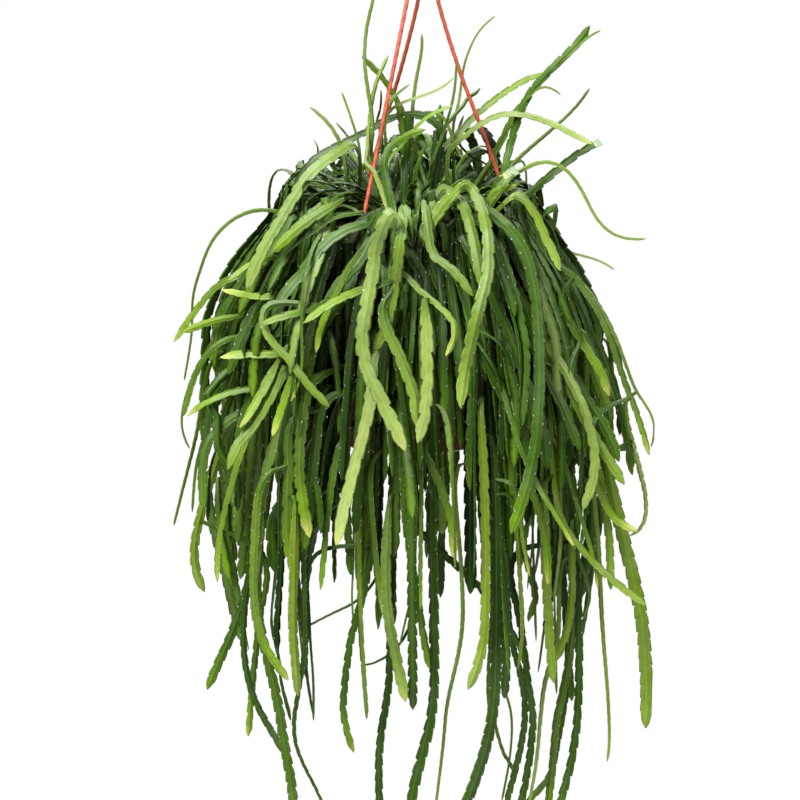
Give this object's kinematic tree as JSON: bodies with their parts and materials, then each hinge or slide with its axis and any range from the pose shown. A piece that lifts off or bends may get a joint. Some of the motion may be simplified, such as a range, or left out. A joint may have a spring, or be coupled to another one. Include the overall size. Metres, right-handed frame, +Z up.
{
  "type": "hanging potted plant",
  "caption": "Trailing cactus with long flat notched stems in a plastic hanging pot with a saucer, three strands and a hook.",
  "frame": {"origin": "where the hook's inner curve bears on what it hangs from", "axes": "+Z up, +X to the viewer's right, -Y towards the viewer of the plant's front"},
  "size_m": [0.3646, 0.3438, 0.7379],
  "materials": {
    "pot_plastic": "satin",
    "saucer_plastic": "satin",
    "soil": "rough and matt",
    "hanger_plastic": "satin",
    "stem_green": "satin, waxy"
  },
  "bodies": {
    "root": {"pot": "pot_plastic", "saucer": "saucer_plastic", "soil": "soil", "hook": "hanger_plastic", "strand_right": "hanger_plastic", "strand_front": "hanger_plastic", "strand_back": "hanger_plastic", "stems_front": "stem_green", "stems_right": "stem_green", "stems_back_right": "stem_green", "stems_back_left": "stem_green", "stems_left": "stem_green"}
  },
  "joints": []
}
